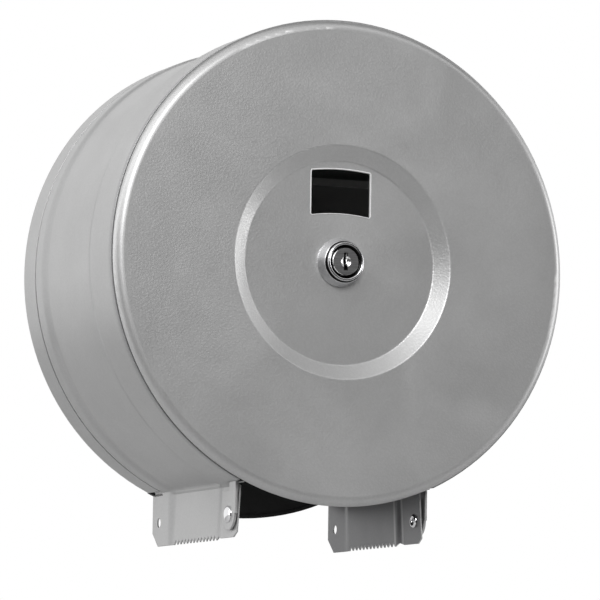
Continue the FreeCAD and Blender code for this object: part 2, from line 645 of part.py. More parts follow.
def lock_housing():
    """The lock's fixed barrel: a dished conical bezel in front and a flatted shank behind."""
    body = new_body("lock_housing")
    profile = new_sketch(body, "housing_profile", "YZ_Plane")
    bore = "(plug_radius + plug_fit)"
    step = "(plug_step_radius + plug_fit)"
    lip_out = "(%s + bezel_rise)" % PANEL_OUT
    step_out = "(%s - plug_drop - plug_head)" % lip_out
    collar_out = "(%s - bezel_collar_drop)" % lip_out
    draw(profile, [("-" + LOCK_BACK_OUT, step), ("-" + LOCK_BACK_OUT, "lock_radius"),
                   ("-" + PANEL_OUT, "lock_radius"), ("-" + PANEL_OUT, "bezel_radius"),
                   ("-%s - bezel_skirt" % PANEL_OUT, "bezel_radius"), ("-" + collar_out, "bezel_collar_radius"),
                   ("-%s - bezel_step" % collar_out, "bezel_lip_radius"),
                   ("-%s + bezel_lip_round" % lip_out, "bezel_lip_radius"),
                   ("-" + lip_out, "bezel_lip_radius - bezel_lip_round"),
                   ("-" + lip_out, "bezel_lip_radius - bezel_lip_wall"),
                   ("-%s + bezel_dish" % lip_out, bore + " + lock_fit"),
                   ("-%s + bezel_dish" % lip_out, bore), ("-" + step_out, bore), ("-" + step_out, step)],
         {7: ("bezel_lip_round", 1)})
    turn(body, "housing_turned", profile)
    for side, near, far in (("left", "-lock_radius - overrun", "-lock_flat_half"),
                            ("right", "lock_flat_half", "lock_radius + overrun")):
        flat = new_sketch(body, side + "_flat_outline", "XZ_Plane", PANEL_OUT)
        draw_box(flat, near, far, "-lock_radius - overrun", "lock_radius + overrun")
        pocket(body, side + "_flat", flat, "lid_wall + lock_reach + overrun")
    return body


def lock_washer():
    body = new_body("lock_washer")
    ring = new_sketch(body, "tooth_washer_ring", "XZ_Plane", PANEL_BACK_OUT)
    draw_circle(ring, "0", "0", "tooth_washer_radius")
    draw_circle(ring, "0", "0", "lock_radius + lock_fit")
    pad(body, "tooth_washer_sheet", ring, "tooth_washer_wall", reverse=True)
    return body


def lock_nut():
    body = new_body("lock_nut")
    hexagon = new_sketch(body, "nut_outline", "XZ_Plane", "%s - tooth_washer_wall" % PANEL_BACK_OUT)
    corner = "nut_half / cos(30)"
    draw(hexagon, [("%s * cos(%d)" % (corner, angle), "%s * sin(%d)" % (corner, angle))
                   for angle in range(0, 360, 60)])
    draw_circle(hexagon, "0", "0", "lock_radius + lock_fit")
    pad(body, "nut_block", hexagon, "nut_wall", reverse=True)
    return body


def lock_plug():
    """The turning core: a stepped cylinder with the keyway in front and a flatted neck behind."""
    body = new_body("lock_plug")
    profile = new_sketch(body, "plug_profile", "YZ_Plane")
    face_out = "(%s + bezel_rise - plug_drop)" % PANEL_OUT
    step_out = "(%s - plug_head)" % face_out
    neck_out = "(%s + lock_fit)" % LOCK_BACK_OUT
    end_out = "(%s - cam_wall)" % CAM_FRONT_OUT
    dimple = "((pow(keyway_eye_radius; 2) + pow(keyway_eye_depth; 2)) / (2 * keyway_eye_depth))"
    draw(profile, [("-%s + keyway_eye_depth" % face_out, "0"), ("-" + face_out, "keyway_eye_radius"),
                   ("-" + face_out, "plug_radius - plug_chamfer"),
                   ("-%s + plug_chamfer" % face_out, "plug_radius"),
                   ("-%s - plug_fit" % step_out, "plug_radius"), ("-%s - plug_fit" % step_out, "plug_step_radius"),
                   ("-" + neck_out, "plug_step_radius"), ("-" + neck_out, "neck_radius"),
                   ("-" + end_out, "neck_radius"), ("-" + end_out, "screw_radius"),
                   ("-%s - screw_length" % end_out, "screw_radius"), ("-%s - screw_length" % end_out, "0")],
         {0: (dimple, 1)})
    turn(body, "plug_turned", profile)
    for side, near, far in (("low", "-neck_radius - overrun", "-neck_flat_half"),
                            ("high", "neck_flat_half", "neck_radius + overrun")):
        flat = new_sketch(body, "neck_%s_flat" % side, "XZ_Plane", neck_out)
        draw_box(flat, "-neck_radius - overrun", "neck_radius + overrun", near, far)
        pocket(body, "neck_%s_cut" % side, flat, "lock_reach")
    slot = new_sketch(body, "keyway_slot", "XZ_Plane", face_out)
    draw(slot, [("-keyway_half_width", "-keyway_half_height"), ("keyway_half_width", "-keyway_half_height"),
                ("keyway_half_width", "-keyway_half_width"), ("keyway_half_width / 2", "0"),
                ("keyway_half_width", "keyway_half_width"), ("keyway_half_width", "keyway_half_height"),
                ("-keyway_half_width", "keyway_half_height")])
    pocket(body, "keyway_cut", slot, "keyway_depth")
    return body


def lock_cam():
    """A flat arm on the plug's neck that swings behind the catch plate."""
    body = new_body("lock_cam")
    arm = new_sketch(body, "cam_outline", "XZ_Plane", CAM_FRONT_OUT)
    draw_box(arm, "-cam_reach + cam_half_width", "0", "-cam_half_width", "cam_half_width")
    pad(body, "cam_arm", arm, "cam_wall", reverse=True)
    for name, centre, radius in (("cam_tip", "-cam_reach + cam_half_width", "cam_half_width"),
                                 ("cam_boss", "0", "neck_radius + cam_boss_wall")):
        disc = new_sketch(body, name + "_outline", "XZ_Plane", CAM_FRONT_OUT)
        draw_circle(disc, centre, "0", radius)
        pad(body, name, disc, "cam_wall", reverse=True)
    hole = new_sketch(body, "cam_hole_outline", "XZ_Plane", CAM_FRONT_OUT)
    half = "(neck_flat_half + lock_fit)"
    radius = "(neck_radius + lock_fit)"
    run = "sqrt(pow(%s; 2) - pow(%s; 2))" % (radius, half)
    draw(hole, [("-" + run, "-" + half), (run, "-" + half), (run, half), ("-" + run, half)],
         {1: (radius, 1), 3: (radius, 1)})
    pocket(body, "cam_hole", hole, "cam_wall * 2 + overrun", both=True)
    return body


def cam_screw():
    body = new_body("cam_screw")
    profile = new_sketch(body, "screw_profile", "YZ_Plane")
    seat = "(%s - cam_wall)" % CAM_FRONT_OUT
    draw(profile, [("-%s - screw_length" % seat, "0"), ("-%s - screw_length" % seat, "screw_radius"),
                   ("-" + seat, "screw_radius"), ("-" + seat, "screw_head_radius"),
                   ("-%s + screw_head_rise * screw_rim_share" % seat, "screw_head_radius"),
                   ("-%s + screw_head_rise" % seat, "screw_radius"), ("-%s + screw_head_rise" % seat, "0")])
    turn(body, "screw_turned", profile)
    return body


def spindle_post():
    """A steel tube on a round flange, riveted to the middle of the pan."""
    body = new_body("spindle_post")
    profile = new_sketch(body, "post_profile", "YZ_Plane")
    draw(profile, [("-" + LINER_OUT, "post_radius - post_wall"), ("-" + LINER_OUT, "post_flange_radius"),
                   ("-" + FLANGE_OUT, "post_flange_radius"), ("-" + FLANGE_OUT, "post_radius"),
                   ("-" + CATCH_OUT, "post_radius"), ("-" + CATCH_OUT, "post_radius - post_wall")])
    turn(body, "post_turned", profile)
    holes = new_sketch(body, "post_holes", "XZ_Plane", LINER_OUT)
    for across, up in SPINDLE_RIVETS:
        draw_circle(holes, across, up, "rivet_radius")
    pocket(body, "post_hole_cut", holes, "post_flange_wall + overrun", reverse=True)
    return body


def catch_plate():
    """The plate welded on the tube's mouth: its long slot lets the cam in and holds it once turned."""
    body = new_body("catch_plate")
    disc = new_sketch(body, "catch_disc", "XZ_Plane", CATCH_OUT)
    draw_circle(disc, "0", "0", "catch_radius")
    draw_box(disc, "-catch_slot_half_length", "catch_slot_half_length", "-catch_slot_half_height",
             "catch_slot_half_height")
    pad(body, "catch_sheet", disc, "catch_wall")
    return body


def roll_hub():
    """The core holder: a ribbed plastic sleeve that turns on the tube, with a flange behind the roll."""
    body = new_body("roll_hub")
    profile = new_sketch(body, "hub_profile", "YZ_Plane")
    bore = "(post_radius + hub_fit)"
    back = "(%s + rivet_head_rise + hub_end_gap)" % FLANGE_OUT
    front = "(%s - hub_end_gap)" % CATCH_OUT
    sleeve = "(%s + hub_wall)" % bore
    draw(profile, [("-" + back, bore), ("-" + back, "hub_flange_radius"),
                   ("-%s - hub_flange_wall" % back, "hub_flange_radius"), ("-%s - hub_flange_wall" % back, sleeve),
                   ("-" + front, sleeve), ("-" + front, bore)])
    turn(body, "hub_turned", profile)
    rib = new_sketch(body, "hub_rib_outline", "YZ_Plane")
    draw(rib, [("-%s - hub_flange_wall / 2" % back, sleeve + " - hub_wall / 2"),
               ("-%s - hub_flange_wall / 2" % back, "hub_rib_radius"),
               ("-%s + hub_rib_lead" % front, "hub_rib_radius"), ("-" + front, sleeve),
               ("-" + front, sleeve + " - hub_wall / 2")])
    ridge = pad(body, "hub_rib", rib, "hub_rib_half * 2", both=True)
    polar(body, "hub_ribs", [ridge], "hub_rib_count")
    return body


def rivet_group(label, places, seat_out):
    """Round-head rivets through the pan, flush with its back, as separate solids in one node."""
    shapes = []
    reach = value(seat_out)
    shank_radius = value("rivet_radius")
    head_radius = value("rivet_head_radius")
    head_rise = value("rivet_head_rise")
    ball_radius = (head_radius ** 2 + head_rise ** 2) / (2 * head_rise)
    for across, up in places:
        place = FreeCAD.Vector(value(across), 0, value(up))
        forward = FreeCAD.Vector(0, -1, 0)
        shank = Part.makeCylinder(shank_radius, reach, place, forward)
        slice_of_head = Part.makeCylinder(head_radius, head_rise, place + forward * reach, forward)
        ball = Part.makeSphere(ball_radius, place + forward * (reach + head_rise - ball_radius))
        shapes.append(shank.fuse(slice_of_head.common(ball)).removeSplitter())
    group = doc.addObject("Part::Feature", label)
    group.Label = label
    group.Shape = Part.makeCompound([solid for shape in shapes for solid in shape.Solids])
    group.Placement = FreeCAD.Placement()
    return group


pieces = [back_pan(), back_liner(), side_band(), front_lid()]
for side, sign in (("left", "-"), ("right", "")):
    pieces.append(lid_lug(side, sign))
    pieces.extend(hinge_parts(side, sign))
pieces.extend([lock_housing(), lock_washer(), lock_nut(), lock_plug(), lock_cam(), cam_screw()])
pieces.extend([spindle_post(), catch_plate(), roll_hub()])
pieces.append(rivet_group("spindle_rivets", SPINDLE_RIVETS, FLANGE_OUT))
pieces.append(rivet_group("liner_rivets", LINER_RIVETS, LINER_OUT))
doc.recompute()

for item in doc.Objects:
    if "Invalid" in item.State or "Error" in item.State:
        raise RuntimeError("%s failed: %s" % (item.Name, item.State))
for piece in pieces:
    if piece.Shape.isNull() or not piece.Shape.isValid():
        raise RuntimeError("%s has no valid shape" % piece.Label)

os.makedirs("parts", exist_ok=True)
for piece in pieces:
    piece.Shape.exportStep("parts/%s.step" % piece.Label)
    print("%-20s solids %d  volume %.1f" % (piece.Label, len(piece.Shape.Solids), piece.Shape.Volume))
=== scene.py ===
import json
import math

import bmesh
import bpy
from bpy.props import FloatProperty, FloatVectorProperty, PointerProperty
from mathutils import Matrix, Vector

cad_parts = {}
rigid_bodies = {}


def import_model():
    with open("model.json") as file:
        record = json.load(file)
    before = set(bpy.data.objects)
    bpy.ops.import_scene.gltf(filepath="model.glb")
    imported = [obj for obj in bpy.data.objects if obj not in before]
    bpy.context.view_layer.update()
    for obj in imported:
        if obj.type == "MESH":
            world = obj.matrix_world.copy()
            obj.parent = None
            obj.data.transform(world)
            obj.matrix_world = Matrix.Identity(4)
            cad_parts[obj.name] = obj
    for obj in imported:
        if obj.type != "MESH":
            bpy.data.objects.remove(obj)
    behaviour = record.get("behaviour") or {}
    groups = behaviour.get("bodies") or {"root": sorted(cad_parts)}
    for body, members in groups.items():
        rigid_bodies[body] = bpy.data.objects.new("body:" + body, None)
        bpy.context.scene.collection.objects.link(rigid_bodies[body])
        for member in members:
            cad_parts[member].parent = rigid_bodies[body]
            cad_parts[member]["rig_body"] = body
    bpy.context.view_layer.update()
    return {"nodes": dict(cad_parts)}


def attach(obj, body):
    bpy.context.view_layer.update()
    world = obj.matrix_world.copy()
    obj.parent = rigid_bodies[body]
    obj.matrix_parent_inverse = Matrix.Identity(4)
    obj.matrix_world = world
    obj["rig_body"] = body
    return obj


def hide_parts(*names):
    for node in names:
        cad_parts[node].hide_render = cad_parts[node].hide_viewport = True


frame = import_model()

bl_info = {
    "name": "Washroom roll dispenser",
    "version": (1, 0, 0),
    "blender": (4, 5, 0),
    "location": "View3D > Sidebar > Dispenser",
    "description": "Finishes, fine pieces and a stage for a packed wall dispenser of large paper rolls",
    "category": "Object",
}

MM = 0.001
SHARP_ANGLE = 0.5        # edges sharper than this, in radians, are rounded off
SMOOTH_ANGLE = 0.6       # edges flatter than this are shaded smooth
MERGE_DISTANCE = 0.000005

# Places on the part in millimetres, as the solids have them. Out is the distance from the wall.
HINGE_OUT, HINGE_UP = 117.4, -130.0
# Joggle edges, where the strip's inner side gets lighter lines as painted highlights.
JOGGLE_EDGES_OUT = (95.5, 102.5)
WINDOW_HALF, WINDOW_CORNER = 16.7, 0.9
WINDOW_FOOT, WINDOW_FOOT_BOW = 24.0, 99.0
WINDOW_TOP, WINDOW_TOP_BOW = 47.3, 112.0

# Painted shade lines along the strip, in its joggles and right behind the lid's rim: middle out, half width and
# fade in millimetres, and amount.
PAINTED_SHADE_LINES = ((32.0, 1.2, 3.4, 0.4), (99.5, 1.5, 3.6, 0.8), (133.3, 0.6, 3.6, 1.0))

# The stage, in metres.
AIM_POINT = (0.0, -0.07, 0.0)
CAMERA_PLACE = (-0.88313, -2.15127, -0.25418)
CAMERA_FORWARD = (0.39018541, 0.91461761, 0.10597162)
CAMERA_UP = (-0.05459467, -0.0919098, 0.99426959)
FLAGS = (
    ("Front flag", 1.5, 2.2, (1.3, -2.2, 0.35)),
    ("Top flag", 1.5, 1.6, (0.8, 0.1, 1.4)),
    ("Left flag", 0.8, 1.1, (-1.75, -1.5, 0.05)),
    ("Back flag", 2.2, 1.1, (-0.3, 0.75, 1.6)),
    ("Low flag", 2.0, 1.15, (-0.1, -0.7, -0.405)),
)


# Node trees

def connect(tree, socket, given):
    """Feeds a socket from another socket, or sets it to a value."""
    if isinstance(given, bpy.types.NodeSocket):
        tree.links.new(given, socket)
    else:
        socket.default_value = given


def place(tree, kind, inputs=None, **settings):
    """A node with its settings; inputs maps a socket's name or number to a value or to another socket."""
    node = tree.nodes.new(kind)
    for name, setting in settings.items():
        setattr(node, name, setting)
    for key, given in (inputs or {}).items():
        connect(tree, node.inputs[key], given)
    return node


def use(tree, group, inputs):
    """A shared effect placed in a material with its own values."""
    return place(tree, "ShaderNodeGroup", inputs, node_tree=group)


def arithmetic(tree, operation, first, second=0.0, clamp=False):
    node = place(tree, "ShaderNodeMath", {0: first, 1: second}, operation=operation, use_clamp=clamp)
    return node.outputs[0]


def remap(tree, given, low, high, to_low, to_high):
    return place(tree, "ShaderNodeMapRange", {"Value": given, "From Min": low, "From Max": high,
                                              "To Min": to_low, "To Max": to_high}).outputs[0]


def blend_colour(tree, factor, first, second, kind="MIX"):
    """Colours are (red, green, blue, alpha) or sockets."""
    node = place(tree, "ShaderNodeMix", data_type="RGBA", blend_type=kind)
    for number, given in ((0, factor), (6, first), (7, second)):
        connect(tree, node.inputs[number], given)
    return node.outputs[2]


def effect(name, inputs, outputs):
    """An empty node group with its sockets; returns the tree, its input node and its output node."""
    tree = bpy.data.node_groups.new(name, "ShaderNodeTree")
    for socket, kind, default in inputs:
        made = tree.interface.new_socket(socket, in_out="INPUT", socket_type=kind)
        if default is not None:
            made.default_value = default
    for socket, kind in outputs:
        tree.interface.new_socket(socket, in_out="OUTPUT", socket_type=kind)
    return tree, tree.nodes.new("NodeGroupInput"), tree.nodes.new("NodeGroupOutput")


def paint_grain():
    """Leather-like orange peel of a baked powder coat: low pillows with fine creases between them."""
    tree, given, made = effect(
        "Paint grain",
        [("Vector", "NodeSocketVector", None), ("Pillow", "NodeSocketFloat", 900.0),
         ("Unevenness", "NodeSocketFloat", 0.5)],
        [("Height", "NodeSocketFloat"), ("Tone", "NodeSocketFloat")])
    wobble = place(tree, "ShaderNodeTexNoise", {"Vector": given.outputs[0], "Scale": 420.0, "Detail": 2.0})
    warped = place(tree, "ShaderNodeVectorMath", {0: wobble.outputs["Color"], 1: (0.0011, 0.0011, 0.0011)},
                   operation="MULTIPLY")
    moved = place(tree, "ShaderNodeVectorMath", {0: given.outputs[0], 1: warped.outputs[0]}, operation="ADD")
    cells = place(tree, "ShaderNodeTexVoronoi", {"Vector": moved.outputs[0], "Scale": given.outputs[1],
                                                 "Smoothness": 0.7}, feature="SMOOTH_F1")
    fine = place(tree, "ShaderNodeTexNoise", {"Vector": given.outputs[0], "Scale": 2600.0, "Detail": 3.0})
    wide = place(tree, "ShaderNodeTexNoise", {"Vector": given.outputs[0], "Scale": 26.0, "Detail": 4.0,
                                              "Roughness": 0.6})
    pillows = remap(tree, cells.outputs["Distance"], 0.05, 0.65, 1.0, 0.0)
    height = arithmetic(tree, "ADD", pillows, arithmetic(tree, "MULTIPLY", fine.outputs[0], 0.35))
    tree.links.new(height, made.inputs[0])
    speckle = arithmetic(tree, "ADD", arithmetic(tree, "MULTIPLY", pillows, 0.5), fine.outputs[0])
    tone = arithmetic(tree, "ADD", arithmetic(tree, "MULTIPLY", speckle, 0.4),
                      arithmetic(tree, "MULTIPLY", wide.outputs[0], given.outputs[2]))
    tree.links.new(tone, made.inputs[1])
    return tree


def handling():
    """Faint smudges and dust, as a mask that only turns a finish a little duller."""
    tree, given, made = effect(
        "Handling",
        [("Vector", "NodeSocketVector", None), ("Spread", "NodeSocketFloat", 18.0)],
        [("Mask", "NodeSocketFloat")])
    smears = place(tree, "ShaderNodeTexNoise", {"Vector": given.outputs[0], "Scale": given.outputs[1],
                                                "Detail": 5.0, "Roughness": 0.55, "Distortion": 0.8})
    specks = place(tree, "ShaderNodeTexNoise", {"Vector": given.outputs[0], "Scale": 700.0, "Detail": 2.0})
    mask = arithmetic(tree, "MULTIPLY", remap(tree, smears.outputs[0], 0.42, 0.72, 0.0, 1.0),
                      remap(tree, specks.outputs[0], 0.3, 0.7, 0.6, 1.0))
    tree.links.new(mask, made.inputs[0])
    return tree


def brush_lines():
    """Fine parallel scratches drawn out along one axis."""
    tree, given, made = effect(
        "Brush lines",
        [("Vector", "NodeSocketVector", None), ("Fineness", "NodeSocketFloat", 3000.0)],
        [("Mask", "NodeSocketFloat")])
    stretched = place(tree, "ShaderNodeMapping", {"Vector": given.outputs[0], "Scale": (0.03, 1.0, 1.0)})
    lines = place(tree, "ShaderNodeTexNoise", {"Vector": stretched.outputs[0], "Scale": given.outputs[1],
                                               "Detail": 4.0, "Roughness": 0.6})
    tree.links.new(remap(tree, lines.outputs[0], 0.3, 0.7, 0.0, 1.0), made.inputs[0])
    return tree


def turned_zone():
    """A mask that is 1 between two radii round the Y axis and between two distances out from the wall."""
    tree, given, made = effect(
        "Turned zone",
        [("Vector", "NodeSocketVector", None),
         ("Inner", "NodeSocketFloat", 0.0), ("Outer", "NodeSocketFloat", 1.0),
         ("Back", "NodeSocketFloat", 0.0), ("Front", "NodeSocketFloat", 1.0),
         ("Soft", "NodeSocketFloat", 0.0002)],
        [("Mask", "NodeSocketFloat")])
    parts = place(tree, "ShaderNodeSeparateXYZ", {0: given.outputs[0]})
    flat = place(tree, "ShaderNodeCombineXYZ", {0: parts.outputs[0], 2: parts.outputs[2]})
    radius = place(tree, "ShaderNodeVectorMath", {0: flat.outputs[0]}, operation="LENGTH").outputs["Value"]
    out = arithmetic(tree, "MULTIPLY", parts.outputs[1], -1.0)
    inner, outer, back, front, soft = given.outputs[1:6]
    mask = None
    for first, second in ((radius, inner), (outer, radius), (out, back), (front, out)):
        inside = arithmetic(tree, "DIVIDE", arithmetic(tree, "SUBTRACT", first, second), soft, clamp=True)
        mask = inside if mask is None else arithmetic(tree, "MULTIPLY", mask, inside)
    tree.links.new(mask, made.inputs[0])
    return tree


# Finishes

def finish_of(name, roughness, metallic=0.0):
    """A new material with its shader; returns the material, its tree, the shader and object coordinates."""
    material = bpy.data.materials.new(name)
    material.use_nodes = True
    tree = material.node_tree
    shader = tree.nodes["Principled BSDF"]
    shader.inputs["Roughness"].default_value = roughness
    shader.inputs["Metallic"].default_value = metallic
    coordinates = tree.nodes.new("ShaderNodeTexCoord").outputs["Object"]
    return material, tree, shader, coordinates


def join_bump(tree, shader, height, distance, strength, edge=0.0):
    """The height as relief in the shader's normal; edge is the radius by which sharp edges look rounded."""
    inputs = {"Height": height, "Distance": distance, "Strength": strength}
    if edge:
        inputs["Normal"] = place(tree, "ShaderNodeBevel", {"Radius": edge}, samples=6).outputs[0]
    tree.links.new(place(tree, "ShaderNodeBump", inputs).outputs[0], shader.inputs["Normal"])


def join_peel(tree, shader, where):
    """The barely visible waviness of plated metal."""
    peel = place(tree, "ShaderNodeTexNoise", {"Vector": where, "Scale": 500.0, "Detail": 1.0})
    join_bump(tree, shader, peel.outputs[0], 0.00002, 0.25)


def zone_mask(tree, shared, where, inner, outer, back, front, soft):
    """The turned zone placed with its five values; returns the mask."""
    zone = use(tree, shared["zone"], {"Vector": where, "Inner": inner, "Outer": outer,
                                      "Back": back, "Front": front, "Soft": soft})
    return zone.outputs["Mask"]


def near_line(tree, along, out, half, fade, inside, outside):
    """One value within half of a distance out from the wall, the other beyond the fade; in millimetres."""
    off = arithmetic(tree, "ABSOLUTE", arithmetic(tree, "ADD", along, out * MM))
    return remap(tree, off, half * MM, (half + fade) * MM, inside, outside)


def grey_powder_coat(look, shared):
    """Baked grey coat: grain over the pressed front, nearly smooth on the drum, a little duller by use."""
    material, tree, shader, where = finish_of("Grey powder coat", look.paint_roughness, look.paint_metal)
    grain = use(tree, shared["grain"], {"Vector": where, "Pillow": look.grain_count, "Unevenness": 0.6})
    marks = use(tree, shared["handling"], {"Vector": where, "Spread": 16.0})
    light = [channel * 1.09 for channel in look.paint_colour] + [1.0]
    dark = [channel * 0.9 for channel in look.paint_colour] + [1.0]
    tone = remap(tree, grain.outputs["Tone"], 0.35, 0.95, 0.0, 1.0)
    tree.links.new(blend_colour(tree, tone, dark, light), shader.inputs["Base Color"])
    worn_roughness = look.paint_roughness + 0.1
    tree.links.new(remap(tree, marks.outputs["Mask"], 0.0, 1.0, look.paint_roughness, worn_roughness),
                   shader.inputs["Roughness"])
    shader.inputs["Specular IOR Level"].default_value = 0.45
    pressed = zone_mask(tree, shared, where, -1.0, 0.1205, 0.1, 1.0, 0.004)
    relief = arithmetic(tree, "MULTIPLY", grain.outputs["Height"], remap(tree, pressed, 0.0, 1.0, 0.15, 1.0))
    join_bump(tree, shader, relief, look.grain_depth, 0.85, 0.0005)
    return material


def strip_coat(look, shared):
    """The coat of the rolled strip, with painted shade: darker lines in its joggles and behind the lid's rim,
    much darker where it faces inwards, and there lighter lines at the joggles' edges as painted highlights.
    """
    material = grey_powder_coat(look, shared)
    material.name = "Grey powder coat on the strip"
    tree = material.node_tree
    shader = tree.nodes["Principled BSDF"]
    coat = shader.inputs["Base Color"].links[0].from_socket
    where = place(tree, "ShaderNodeSeparateXYZ", {0: tree.nodes["Texture Coordinate"].outputs["Object"]})
    across, along = where.outputs[0], where.outputs[1]
    normal = tree.nodes.new("ShaderNodeNewGeometry").outputs["True Normal"]
    facing = place(tree, "ShaderNodeSeparateXYZ", {0: normal}).outputs[0]
    # Faces turned inwards are painted darker, as painted shade. They are less dark near the joggles' edges,
    # which paints lighter lines there as painted highlights.
    inward = arithmetic(tree, "MULTIPLY", arithmetic(tree, "MULTIPLY", across, 20.0), facing)
    inner_painted_shade = remap(tree, inward, -0.2, -0.7, 0.0, 1.0)
    for out in JOGGLE_EDGES_OUT:
        inner_painted_shade = arithmetic(tree, "MULTIPLY", inner_painted_shade, near_line(tree, along, out, 0.3, 1.3, 0.35, 1.0))
    # Darker lines in the joggles and behind the lid's rim: painted shade, multiplied into the coat.
    painted_shade_mask = 0.0
    for out, half, fade, amount in PAINTED_SHADE_LINES:
        painted_shade_mask = arithmetic(tree, "MAXIMUM", painted_shade_mask, near_line(tree, along, out, half, fade, amount, 0.0))
    line_shaded_coat = blend_colour(tree, 1.0, coat, (0.76, 0.76, 0.765, 1.0), "MULTIPLY")
    coat = blend_colour(tree, painted_shade_mask, coat, line_shaded_coat)
    inner_shaded_coat = blend_colour(tree, 1.0, coat, (0.4, 0.4, 0.41, 1.0), "MULTIPLY")
    tree.links.new(blend_colour(tree, inner_painted_shade, coat, inner_shaded_coat), shader.inputs["Base Color"])
    return material


def black_lining(look, shared):
    """Black sheet at the back, painted lighter on its upper half and most on the raised bar, as painted light
    where light comes in at the window; smudges vary it a little.
    """
    material, tree, shader, where = finish_of("Black lining", 0.6)
    grain = use(tree, shared["grain"], {"Vector": where, "Pillow": 1500.0, "Unevenness": 0.8})
    marks = use(tree, shared["handling"], {"Vector": where, "Spread": 22.0})
    parts = place(tree, "ShaderNodeSeparateXYZ", {0: where})
    # Upper half painted lighter and the raised bar lighter still: painted light where light comes in at the
    # window, and a painted highlight on the bar.
    painted_upper_light = remap(tree, parts.outputs[2], -0.03, 0.02, 0.0, 0.5)
    rib = remap(tree, parts.outputs[1], -0.0047, -0.0052, 0.0, 1.0)
    painted_window_light = arithmetic(tree, "ADD", painted_upper_light, arithmetic(tree, "MULTIPLY", rib, painted_upper_light))
    painted_light_smudged = arithmetic(tree, "MULTIPLY", painted_window_light, remap(tree, marks.outputs["Mask"], 0.0, 1.0, 0.85, 1.0))
    tree.links.new(blend_colour(tree, painted_light_smudged, (0.024, 0.024, 0.0245, 1.0), (0.75, 0.75, 0.74, 1.0)),
                   shader.inputs["Base Color"])
    tree.links.new(remap(tree, grain.outputs["Tone"], 0.3, 1.0, 0.55, 0.75), shader.inputs["Roughness"])
    join_bump(tree, shader, grain.outputs["Height"], 0.00006, 0.5)
    return material


def moulded_grey(look, shared):
    """Dark plastic of the core holder, with the fine grain of its mould."""
    material, tree, shader, where = finish_of("Moulded dark plastic", 0.42)
    grain = use(tree, shared["grain"], {"Vector": where, "Pillow": 1900.0, "Unevenness": 0.5})
    marks = use(tree, shared["handling"], {"Vector": where, "Spread": 30.0})
    clean, rubbed = (0.022, 0.022, 0.024, 1.0), (0.034, 0.034, 0.035, 1.0)
    tree.links.new(blend_colour(tree, marks.outputs["Mask"], clean, rubbed), shader.inputs["Base Color"])
    tree.links.new(remap(tree, grain.outputs["Tone"], 0.3, 1.0, 0.36, 0.5), shader.inputs["Roughness"])
    join_bump(tree, shader, grain.outputs["Height"], 0.00004, 0.4)
    return material


def bright_chrome(look, shared):
    """Polished plating with faint smudges."""
    material, tree, shader, where = finish_of("Bright chrome", 0.07, 1.0)
    marks = use(tree, shared["handling"], {"Vector": where, "Spread": 90.0})
    clean, rubbed = (0.84, 0.84, 0.85, 1.0), (0.74, 0.74, 0.75, 1.0)
    tree.links.new(blend_colour(tree, marks.outputs["Mask"], clean, rubbed), shader.inputs["Base Color"])
    tree.links.new(remap(tree, marks.outputs["Mask"], 0.0, 1.0, 0.06, 0.16), shader.inputs["Roughness"])
    join_peel(tree, shader, where)
    return material


def lock_chrome(look, shared):
    """Chrome of the lock housing, painted nearly black in the groove behind the lip and in the dish, as painted
    dark reflection and shade where the chrome turns inwards.
    """
    material, tree, shader, where = finish_of("Lock chrome", 0.1, 1.0)
    marks = use(tree, shared["handling"], {"Vector": where, "Spread": 120.0})
    # Groove and dish painted nearly black: painted dark reflection and shade.
    groove = zone_mask(tree, shared, where, 0.00985, 0.0108, 0.1377, 0.1401, 0.00015)
    dish = zone_mask(tree, shared, where, 0.0, 0.0089, 0.130, 0.14085, 0.00025)
    painted_dark_reflection = arithmetic(tree, "MAXIMUM", groove, dish)
    bright = blend_colour(tree, marks.outputs["Mask"], (0.66, 0.66, 0.67, 1.0), (0.55, 0.55, 0.56, 1.0))
    tree.links.new(blend_colour(tree, painted_dark_reflection, bright, (0.012, 0.012, 0.012, 1.0)), shader.inputs["Base Color"])
    tree.links.new(remap(tree, marks.outputs["Mask"], 0.0, 1.0, 0.09, 0.2), shader.inputs["Roughness"])
    join_peel(tree, shader, where)
    return material


def lip_enamel_and_highlight(look, shared):
    """Pale coat on the rolled edge of the window, near white: partly a thicker coat, partly a painted highlight
    along the edge.
    """
    material, tree, shader, where = finish_of("Pale enamel and painted highlight on the lip", 0.22)
    marks = use(tree, shared["handling"], {"Vector": where, "Spread": 60.0})
    # Near white colour: a thicker coat and a painted highlight of the rolled edge.
    clean, rubbed = (0.90, 0.90, 0.90, 1.0), (0.76, 0.76, 0.76, 1.0)
    tree.links.new(blend_colour(tree, marks.outputs["Mask"], clean, rubbed), shader.inputs["Base Color"])
    tree.links.new(remap(tree, marks.outputs["Mask"], 0.0, 1.0, 0.2, 0.34), shader.inputs["Roughness"])
    return material


